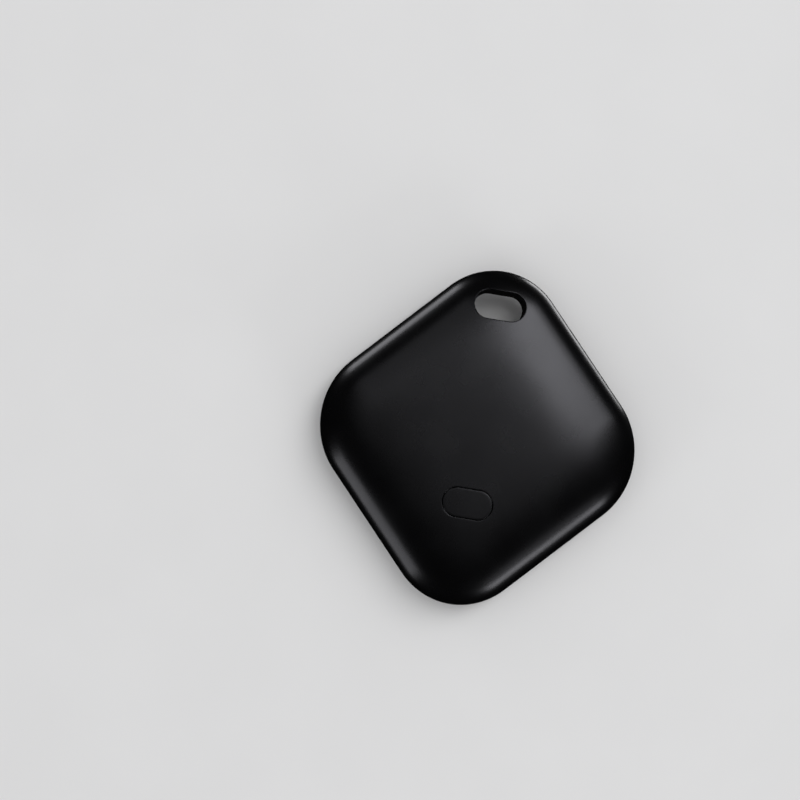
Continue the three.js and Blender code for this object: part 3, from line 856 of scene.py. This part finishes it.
def turned_part(name, corners, radius, middle=ORIGIN, closed=False, steps=160):
    return shade(turned(name, rounded_path(corners, radius, closed), middle, steps, closed), 40)


def cell_can():
    """A drawn steel can, crimped over the gasket, with a plus sign stamped in its base."""
    inside = CELL_RADIUS - CAN_WALL
    low, top = CELL_LOW_Z, CELL_TOP_Z
    can = turned_part("can_cell", [
        (AXIS, low), (CELL_RADIUS - 0.12, low), (CELL_RADIUS, low + 0.3), (CELL_RADIUS, top - 0.15),
        (CELL_RADIUS - 0.15, top), (CRIMP_RADIUS, top), (CRIMP_RADIUS, top - CRIMP),
        (inside, top - CRIMP), (inside, low + CAN_WALL), (AXIS, low + CAN_WALL),
    ], 0.2)
    cut(can, *[block("plus", size, ORIGIN, low - 1, low + 0.05) for size in ((4.6, 0.6), (0.6, 4.6))])
    return shade(can, 40)


def cell_gasket():
    """A moulded ring that lines the can, with a lip between the crimp and the cap."""
    gap = 0.03
    outside = CELL_RADIUS - CAN_WALL - gap
    inside = CAP_FLANGE + gap
    low = CELL_LOW_Z + CAN_WALL + gap
    shoulder = CELL_TOP_Z - CAP_STEP + gap
    under_crimp = CELL_TOP_Z - CRIMP - gap
    lip = CELL_TOP_Z - 0.08
    return turned_part("gasket_cell", [
        (inside, low), (outside, low), (outside, under_crimp), (CRIMP_RADIUS - gap, under_crimp),
        (CRIMP_RADIUS - gap, lip), (CAP_RADIUS + gap, lip), (CAP_RADIUS + gap, shoulder), (inside, shoulder),
    ], 0.05, closed=True)


def cell_cap():
    """The negative cap: a drawn cup with a turned-down flange and a faint stamped ring."""
    sheet = 0.2
    top = CELL_TOP_Z
    shoulder = top - CAP_STEP
    rim = CELL_LOW_Z + 0.5
    return turned_part("cap_cell", [
        (AXIS, top - sheet), (CAP_RADIUS - sheet - 0.15, top - sheet),
        (CAP_RADIUS - sheet, top - sheet - 0.15), (CAP_RADIUS - sheet, shoulder - sheet),
        (CAP_FLANGE - sheet, shoulder - sheet), (CAP_FLANGE - sheet, rim), (CAP_FLANGE, rim),
        (CAP_FLANGE, shoulder), (CAP_RADIUS, shoulder), (CAP_RADIUS, top - 0.15), (CAP_RADIUS - 0.2, top),
        (7.4, top), (7.3, top - 0.03), (7.1, top - 0.03), (7.0, top), (AXIS, top),
    ], 0.1)


def round_part(name, node, section, radius, closed=False, steps=64):
    """A turned part in a CAD node's place. section(reach, low, high) gives its corners."""
    middle, size, low, high = measured(node)
    return turned_part(name, section(size[0] / 2, low, high), radius, middle, closed, steps)


def layer(name, node, radius):
    """A round layer with rounded edges."""
    return round_part(name, node, lambda reach, low, high: [
        (AXIS, low), (reach, low), (reach, high), (AXIS, high),
    ], radius, steps=96)


def cell_pad():
    """Die-cut foam: its rim is pulled in by the adhesive below and swells a little above."""
    piece = round_part("pad_cell", "cell_pad", lambda reach, low, high: [
        (AXIS, low), (reach - 0.05, low), (reach, low + 0.05), (reach - 0.02, high - 0.05),
        (reach - 0.12, high), (AXIS, high),
    ], 0.05, steps=160)
    return piece


# ---- small electronics


def end_caps(middle, turn, reach, size, low, high):
    """A metal cap or pad at each end of a chip part of that reach."""
    spots = [placed(middle, turn, end * (reach - size[0]) / 2, 0.0) for end in (1, -1)]
    return [(slab("cap", size, spot, low, high, turn, 0.04), "tin") for spot in spots]


def solder_fillet(middle, turn, end, size, low):
    """Solder that climbs one end of a chip part from the board, in a hollow curve."""
    rings = []
    for across in (-0.45, 0.45):
        ring = []
        for out, up in ((-0.02, 0.0), (0.25, 0.0), (0.12, 0.06), (0.04, 0.16), (-0.02, 0.3)):
            spot = placed(middle, turn, end * (size[0] / 2 + out), across * size[1])
            ring.append((*spot, low - 0.015 + up))
        rings.append(ring)
    return swept("fillet", rings)


def chip_part(node, turn, material, height_trim):
    """A ceramic chip: rounded body, metal end caps and a solder fillet up each cap."""
    middle, size, low, high = measured(node, turn)
    cap = 0.22 * size[0]
    body_size = (size[0] - cap, size[1] - 0.06)
    body = slab("body", body_size, middle, low + 0.03, high - height_trim, turn, 0.03)
    parts = [(body, material)] + end_caps(middle, turn, size[0], (cap, size[1]), low, high)
    parts += [(solder_fillet(middle, turn, end, size, low), "tin") for end in (1, -1)]
    return joined(f"chip_{node}", parts)


def bluetooth_chip():
    """A square leadless package: moulded body, pin-one dimple and eight pads on each side."""
    middle, size, low, high = measured("bluetooth_chip")
    body = slab("body", (size[0] - 0.04, size[1] - 0.04), middle, low + 0.02, high)
    cut(body, disc("dimple", 0.3, placed(middle, 0, -1.9, 1.9), high - 0.05, high + 1, 32))
    parts = [(body, "chip_resin")]
    for turn in range(0, 360, 90):
        for k in range(8):
            spot = placed(middle, turn, size[0] / 2 - 0.18, (k - 3.5) * 0.5)
            parts.append((slab("pad", (0.38, 0.24), spot, low - 0.01, low + 0.2, turn, 0.02), "tin"))
    return joined("chip_bluetooth", parts)


def main_crystal():
    """A ceramic tray with a metal lid seamed on to it."""
    middle, size, low, high = measured("main_crystal")
    tray = slab("tray", size, middle, low, low + 0.3)
    lid = slab("lid", (size[0] - 0.2, size[1] - 0.2), middle, low + 0.25, high, radius=0.12)
    return joined("crystal_main", [(tray, "white_ceramic"), (lid, "spring_steel")])


def clock_crystal():
    """A moulded block with a wrapped metal pad at each end of its underside."""
    middle, size, low, high = measured("clock_crystal")
    body = slab("body", (size[0] - 0.06, size[1]), middle, low + 0.03, high, radius=0.07)
    pads = end_caps(middle, 0, size[0], (0.5, size[1] * 0.8), low, low + 0.25)
    return joined("crystal_clock", [(body, "chip_resin")] + pads)


def chip_antenna():
    """A ceramic bar with a folded silver line on its top and a terminal at each end."""
    turn = 45
    middle, size, low, high = measured("chip_antenna", turn)
    body = slab("body", (size[0] - 0.1, size[1]), middle, low + 0.02, high - 0.02, turn, 0.05)
    caps = end_caps(middle, turn, size[0], (0.4, size[1] + 0.02), low, high)
    folds = 6
    corners = []
    for k in range(folds + 1):
        ends = (-0.5, 0.5) if k % 2 else (0.5, -0.5)
        corners += [placed(middle, turn, 3.4 * (k / folds - 0.5), y) for y in ends]
    line = ribbon("line", corners, 0.1, 0.16, high - 0.03, high)
    return joined("antenna_chip", [(body, "white_ceramic"), *caps, (line, "tin")])


def boost_inductor():
    """A ferrite drum: a square foot, a copper winding and an eight-sided top flange."""
    middle, size, low, high = measured("boost_inductor")
    half = size[0] / 2
    side = half - 0.6
    corners = [placed(middle, turn, half, y) for turn in range(0, 360, 90) for y in (-side, side)]
    foot = slab("foot", size, middle, low, low + 0.25)
    flange = prism("flange", corners, high - 0.22, high, middle)
    bevel(flange, 0.05)
    core = disc("core", 0.9, middle, low + 0.2, high - 0.18, 48)
    parts = [(body, "ferrite") for body in (foot, flange, core)]
    turns = 4
    wire = 0.5 * (high - low - 0.47) / turns
    angles = [2 * pi * step / 12 for step in range(12)]
    for k in range(turns):
        z = low + 0.25 + wire * (2 * k + 1)
        section = [(1.15 + wire * cos(angle), z + wire * 0.98 * sin(angle)) for angle in angles]
        parts.append((turned("winding", section, middle, 48, closed=True), "copper_wire"))
    return joined("inductor_boost", parts)


def bent_lead(start, top, slope, foot, width, middle, turn, bend):
    """A lead that leaves a package at its top height and bends down to a foot on the board."""
    corners = [(start, top), (start + 0.35, top), (start + slope, foot), (start + 0.8, foot)]
    return leaf("lead", corners, 0.1, width, middle, turn, bend), "tin"


def driver_transistor():
    """A three-lead package: a body with drafted sides and bent leads."""
    middle, size, low, high = measured("driver_transistor")
    rings = []
    for share, z in ((0.9, low + 0.08), (1.0, low + 0.45), (0.88, high)):
        length = size[0] * (1 - 0.6 * (1 - share))
        rings.append((rectangle(length, size[1] * share, middle, 0), z))
    body = lofted("body", rings, middle)
    bevel(body, 0.05)
    parts = [(body, "chip_resin")]
    start = size[1] / 2 - 0.15
    for x, turn in ((0.95, 90), (-0.95, 90), (0.0, -90)):
        spot = placed(middle, 0, x, 0.0)
        parts.append(bent_lead(start, low + 0.45, 0.5, low + 0.06, 0.4, spot, turn, 0.12))
    return joined("transistor_driver", parts)


# ---- switch and sounder


def switch_base():
    """The switch's moulded base, with the dome's well and a terminal at each corner."""
    middle, size, low, high = measured("switch_base")
    base = slab("base", size, middle, low, high, radius=0.1)
    cut(base, disc("well", 1.35, middle, low + 0.1, high + 1, 64))
    parts = [(base, "chip_resin")]
    start = size[0] / 2 - 0.2
    for turn in (0, 180):
        for y in (1.0, -1.0):
            spot = placed(middle, 0, 0.0, y)
            parts.append(bent_lead(start, low + 0.3, 0.45, low + 0.05, 0.5, spot, turn, 0.1))
    return joined("base_switch", parts)


def switch_cover():
    """A stamped plate with the plunger's hole."""
    middle, size, low, high = measured("switch_cover")
    cover = block("cover_switch", size, middle, low, high)
    cut(cover, disc("hole", 0.85, middle, low - 1, high + 1, 48))
    bevel(cover, 0.04, 40)
    return shade(cover, 40, flat=True)


def switch_dome():
    """A snap dome of thin sheet, on a mesh of its own."""
    dome = round_part("dome_switch", "switch_dome", lambda rim, low, high: [
        (AXIS, high - 0.06), (rim * 0.5, high - 0.12), (rim - 0.1, low), (rim, low),
        (rim, low + 0.03), (rim * 0.5, high - 0.06), (AXIS, high),
    ], 0.1)
    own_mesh(dome)
    return dome


def switch_plunger():
    return round_part("plunger_switch", "switch_plunger", lambda flange, low, high: [
        (AXIS, low), (flange, low), (flange, low + 0.1), (0.75, low + 0.1), (0.75, high - 0.1),
        (0.65, high), (AXIS, high),
    ], 0.04)


def piezo_adhesive():
    return round_part("adhesive_piezo", "piezo_adhesive", lambda reach, low, high: [
        (reach - 1.2, low), (reach, low), (reach, high), (reach - 1.2, high),
    ], 0.02, closed=True, steps=160)


def piezo_ceramic():
    """The ceramic disc, with a silver electrode that stops short of its edge."""
    middle, size, low, high = measured("piezo_ceramic")
    reach = size[0] / 2
    corners = [(AXIS, low + 0.01), (reach, low + 0.01), (reach, high), (AXIS, high)]
    body = turned("body", rounded_path(corners, 0.02), middle)
    electrode = disc("electrode", reach - 0.35, middle, low, low + 0.02)
    return joined("ceramic_piezo", [(body, "white_ceramic"), (electrode, "silver")], 40, flat=False)


def sounder_spring(name, touch_z, centre, turn):
    """A leaf soldered to the board, folded back so that its free end touches the sounder."""
    foot = BOARD_TOP_Z + 0.02 + SHEET / 2
    tip = touch_z - 0.04 - SHEET / 2
    corners = [(-1, tip), (-0.4, tip), (0.6, foot + 0.45), (1.1, foot + 0.25), (0.8, foot), (-1, foot)]
    return shade(leaf(name, corners, SHEET, 1.2, centre, turn, bend=0.12, tip_share=0.8), 40)


# ---- materials


MATERIALS = {}
MIX_SPAN = (0.3, 0.7)


class Graph:
    """A node material being wired, kept in MATERIALS. Inputs are named with _ for a space."""

    def __init__(self, name):
        MATERIALS[name] = bpy.data.materials.new(name)
        MATERIALS[name].use_nodes = True
        self.tree = MATERIALS[name].node_tree
        self.place = self.node("ShaderNodeTexCoord").outputs["Object"]

    def feed(self, node, **inputs):
        """Links or sets the inputs of a node."""
        for key, value in inputs.items():
            socket = node.inputs[key.replace("_", " ")]
            if isinstance(value, bpy.types.NodeSocket):
                self.tree.links.new(value, socket)
            else:
                socket.default_value = value

    def node(self, kind, **inputs):
        made = self.tree.nodes.new(kind)
        self.feed(made, **inputs)
        return made

    def noise(self, scale, detail, roughness=0.5, place=None):
        inputs = {"Scale": scale, "Detail": detail, "Roughness": roughness, "Vector": place or self.place}
        return self.node("ShaderNodeTexNoise", **inputs).outputs["Fac"]

    def bump(self, height, strength, depth_mm):
        made = self.node("ShaderNodeBump", Height=height, Strength=strength, Distance=depth_mm * MM)
        return made.outputs["Normal"]

    def finish(self, tone, pair, shine, spread, **more):
        """Two colours mixed by a tone, and a spread of roughness that follows the shine."""
        ramp = self.node("ShaderNodeValToRGB", Fac=tone)
        for stop, position, colour in zip(ramp.color_ramp.elements, MIX_SPAN, pair):
            stop.position = position
            stop.color = (*colour, 1)
        polish = self.node("ShaderNodeMapRange", Value=shine, To_Min=spread[0], To_Max=spread[1])
        self.feed(polish, From_Min=MIX_SPAN[0], From_Max=MIX_SPAN[1])
        shader = self.tree.nodes["Principled BSDF"]
        self.feed(shader, Base_Color=ramp.outputs["Color"], Roughness=polish.outputs["Result"], **more)


def grained(name, pair, tone, grain, spread, relief, gritty=False, stretch=None, **more):
    """A slow tone that mixes two colours, and a fine grain in relief, which may be stretched.

    The roughness follows the tone, or the grain of a gritty finish."""
    graph = Graph(name)
    place = graph.place
    if stretch:
        place = graph.node("ShaderNodeMapping", Vector=place, Scale=(1.0, stretch, 1.0)).outputs["Vector"]
    slow = graph.noise(*tone)
    fine = graph.noise(*grain, 0.6, place)
    shine = fine if gritty else slow
    graph.finish(slow, pair, shine, spread, Normal=graph.bump(fine, *relief), **more)


def moulded_plastic(name, pair, roughness, grain_mm, grain_depth, gloss=(1.0, 1.0, 1.0)):
    """Moulded plastic: fine spark-eroded grain and slow drift of its tone and its polish."""
    spread = (roughness - 0.015, roughness + 0.02)
    grain = (1 / (grain_mm * MM), 2.0)
    grained(name, pair, (160, 3.0), grain, spread, (0.35, grain_depth), Specular_Tint=(*gloss, 1.0))


def rubber(name, pair):
    grained(name, pair, (900, 4.0), (1 / (0.12 * MM), 3.0), (0.62, 0.8), (0.5, 0.01))


def ceramic(name, pair, roughness=0.45):
    spread = (roughness - 0.08, roughness + 0.08)
    grained(name, pair, (1500, 2.0), (9000, 3.0), spread, (0.4, 0.006), gritty=True)


def metal(name, pair, roughness, stretch=1.0):
    """Rolled or stamped metal: fine lines, drawn out along Y, small stains and soft dents."""
    spread = (roughness - 0.06, roughness + 0.1)
    grained(name, pair, (350, 4.0), (4000.0, 3.0), spread, (0.25, 0.004), True, stretch, Metallic=0.82)


def foam(name, pair):
    graph = Graph(name)
    cells = graph.node("ShaderNodeTexVoronoi", Scale=4200.0, Vector=graph.place).outputs["Distance"]
    graph.finish(cells, pair, cells, (0.85, 1.0), Normal=graph.bump(cells, 1.0, 0.06))


def solder_mask(name, pair):
    """Green solder mask: the glass weave shows faintly through it, and its gloss is uneven."""
    graph = Graph(name)
    weave = graph.node("ShaderNodeMath")
    weave.operation = "MULTIPLY"
    for socket, direction in zip(weave.inputs, "XY"):
        threads = graph.node("ShaderNodeTexWave", Scale=420.0, Distortion=1.5, Vector=graph.place)
        threads.bands_direction = direction
        graph.tree.links.new(threads.outputs["Fac"], socket)
    patch = graph.noise(220, 4.0)
    graph.finish(patch, pair, patch, (0.24, 0.38), Normal=graph.bump(weave.outputs["Value"], 0.25, 0.008))


SATIN_PAIR = ((0.0009, 0.0009, 0.001), (0.0014, 0.0014, 0.0016))
moulded_plastic("satin_black", SATIN_PAIR, 0.27, 0.09, 0.0016, (0.93, 0.93, 1.0))
moulded_plastic("frame_plastic", ((0.017, 0.017, 0.018), (0.024, 0.024, 0.026)), 0.5, 0.14, 0.006)
moulded_plastic("chip_resin", ((0.014, 0.014, 0.015), (0.022, 0.022, 0.023)), 0.5, 0.06, 0.004)
rubber("seal_rubber", ((0.03, 0.03, 0.032), (0.045, 0.045, 0.048)))
foam("foam", ((0.022, 0.022, 0.0232), (0.055, 0.055, 0.058)))
solder_mask("board_mask", ((0.004, 0.055, 0.024), (0.005, 0.07, 0.03)))
solder_mask("track_mask", ((0.012, 0.13, 0.055), (0.016, 0.16, 0.065)))
ceramic("capacitor_ceramic", ((0.36, 0.22, 0.1), (0.46, 0.3, 0.15)))
ceramic("white_ceramic", ((0.66, 0.63, 0.57), (0.78, 0.75, 0.69)))
ceramic("cell_gasket", ((0.6, 0.61, 0.62), (0.7, 0.71, 0.72)), 0.55)
ceramic("cathode", ((0.015, 0.015, 0.015), (0.03, 0.03, 0.03)), 0.85)
ceramic("ferrite", ((0.03, 0.03, 0.032), (0.05, 0.05, 0.053)), 0.55)
ceramic("laminate", ((0.3, 0.31, 0.16), (0.4, 0.4, 0.22)), 0.6)
metal("spring_steel", ((0.5, 0.48, 0.44), (0.66, 0.64, 0.6)), 0.28, 0.08)
metal("brass_plate", ((0.5, 0.32, 0.1), (0.64, 0.44, 0.16)), 0.32, 0.1)
metal("cell_steel", ((0.5, 0.5, 0.51), (0.62, 0.62, 0.63)), 0.26, 0.06)
metal("lithium", ((0.4, 0.41, 0.43), (0.5, 0.51, 0.53)), 0.5)
metal("tin", ((0.56, 0.56, 0.57), (0.7, 0.7, 0.7)), 0.38)
metal("gold", ((0.78, 0.52, 0.2), (0.86, 0.6, 0.26)), 0.3)
metal("silver", ((0.68, 0.67, 0.64), (0.78, 0.77, 0.74)), 0.42)
metal("copper_wire", ((0.6, 0.22, 0.1), (0.72, 0.3, 0.15)), 0.32)

# ---- assembly

SLOTS = {part["node"]: part["material_slot"] for part in frame["record"]["subparts"]}
BODIES = {node: body for body, nodes in frame["record"]["behaviour"]["bodies"].items() for node in nodes}


def stands_for(piece, node):
    """The piece replaces a CAD node, with that node's finish unless it has its own."""
    if not piece.data.materials:
        piece.data.materials.append(MATERIALS[SLOTS[node]])
    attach(piece, BODIES[node])
    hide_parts(node)


# Each of these functions has the name of the node that its piece stands for.
for build in (
    front_cover, rear_cover, button_cap, seal_ring, battery_frame, circuit_board, negative_contact,
    cell_can, cell_gasket, cell_cap, cell_pad, bluetooth_chip, main_crystal, clock_crystal, chip_antenna,
    boost_inductor, driver_transistor, switch_base, switch_cover, switch_dome, switch_plunger,
    piezo_adhesive, piezo_ceramic,
):
    stands_for(build(), build.__name__)
for side, turn in (("right", 0), ("left", 180)):
    stands_for(positive_contact(f"contact_{side}", turn), f"positive_contact_{side}")
for kind, rounding in (("cathode", 0.15), ("separator", 0.02), ("anode", 0.15)):
    stands_for(layer(f"{kind}_layer", f"cell_{kind}", rounding), f"cell_{kind}")
stands_for(layer("plate_piezo", "piezo_plate", 0.05), "piezo_plate")
for kind, turns, material, height_trim in (
    ("capacitor", (0, 0, 90, 0, 90, 0), "capacitor_ceramic", 0.03),
    ("resistor", (90, 90, 0, 0), "chip_resin", 0.02),
    ("matching_inductor", (90, 90), "white_ceramic", 0.03),
):
    for index, turn in enumerate(turns, 1):
        node = f"{kind}_{index}"
        stands_for(chip_part(node, turn, material, height_trim), node)
for kind, centre, turn in (("ceramic", (1.5, 3.0), 0), ("plate", (-1.0, 7.9), 90)):
    spring = sounder_spring(f"spring_{kind}", heights(f"piezo_{kind}")[0], centre, turn)
    stands_for(spring, f"sounder_spring_{kind}")

# ---- floor, light and camera


def stage_floor():
    """Pale paper. It is no mirror and blocks no light, so the edge of the case stays dark."""
    grid = np.linspace(-FLOOR_METRES / 2, FLOOR_METRES / 2, 25) / MM
    floor = Shell()
    rows = [floor.ring([(x, y) for x in grid], -0.02) for y in grid]
    for near, far in zip(rows, rows[1:]):
        floor.faces += zip(near, near[1:], far[1:], far)
    piece = floor.made("floor")
    graph = Graph("floor_paper")
    tone = graph.noise(60, 3.0)
    graph.finish(tone, ((0.755, 0.755, 0.76), (0.768, 0.768, 0.773)), tone, (0.8, 0.9))
    piece.data.materials.append(MATERIALS["floor_paper"])
    piece.visible_glossy = False
    piece.visible_shadow = False


def softbox(name, azimuth, elevation, width, height, radiance):
    """A rectangular softbox that faces the tag. The azimuth is counted from +X towards +Y."""
    data = bpy.data.lights.new(name, "AREA")
    data.shape = "RECTANGLE"
    data.size = width
    data.size_y = height
    data.energy = pi * width * height * radiance
    lamp = linked(name, data)
    flat = placed(ORIGIN, azimuth, LIGHT_METRES * cos(radians(elevation)), 0.0)
    lamp.location = (*flat, LIGHT_METRES * sin(radians(elevation)))
    lamp.rotation_euler = (-lamp.location).to_track_quat("-Z", "Y").to_euler()
    lamp.visible_camera = False


def studio():
    """A pale room that is dim where it mirrors in the tag, and softboxes round the tag."""
    world = bpy.data.worlds.new("studio")
    world.use_nodes = True
    nodes = world.node_tree.nodes
    path = nodes.new("ShaderNodeLightPath")
    room_light = nodes.new("ShaderNodeMapRange")
    room_light.inputs["To Min"].default_value = ROOM_LIGHT
    room_light.inputs["To Max"].default_value = ROOM_LIGHT_MIRRORED
    world.node_tree.links.new(path.outputs["Is Glossy Ray"], room_light.inputs["Value"])
    world.node_tree.links.new(room_light.outputs["Result"], nodes["Background"].inputs["Strength"])
    nodes["Background"].inputs["Color"].default_value = (1.0, 1.0, 1.0, 1.0)
    bpy.context.scene.world = world
    bpy.context.scene.view_settings.view_transform = "Standard"
    softbox("overhead", 90, 85, 0.5, 0.5, 0.13)
    softbox("key", 50, 59, 0.34, 0.74, 4.2)
    softbox("key_low", 45, 33, 0.3, 0.2, 1.7)
    softbox("fill_upper_left", 135, 62, 0.3, 0.6, 0.5)
    softbox("strip_lower_right", -45, 17, 0.4, 0.22, 4.6)
    softbox("fill_lower_right", -45, 34, 0.3, 0.2, 0.6)
    softbox("strip_lower_left", -135, 14, 0.34, 0.62, 2.0)
    softbox("strip_upper_left", 135, -5, 0.3, 0.42, 4.1)
    softbox("rim_upper_right", 54, -36, 0.45, 0.3, 4.8)


def camera():
    """The viewpoint: nearly straight above the front, turned so that the slot is up and right."""
    data = bpy.data.cameras.new("camera")
    data.lens = LENS
    data.sensor_width = 36.0
    data.clip_start = 0.01
    data.clip_end = 5.0
    eye = linked("camera", data)
    right = Vector(EYE_RIGHT)
    forward = Vector(EYE_FORWARD)
    turn = Matrix((right, right.cross(forward), -forward)).transposed().to_4x4()
    eye.matrix_world = Matrix.Translation(Vector(EYE) * MM) @ turn
    bpy.context.scene.camera = eye


stage_floor()
studio()
camera()
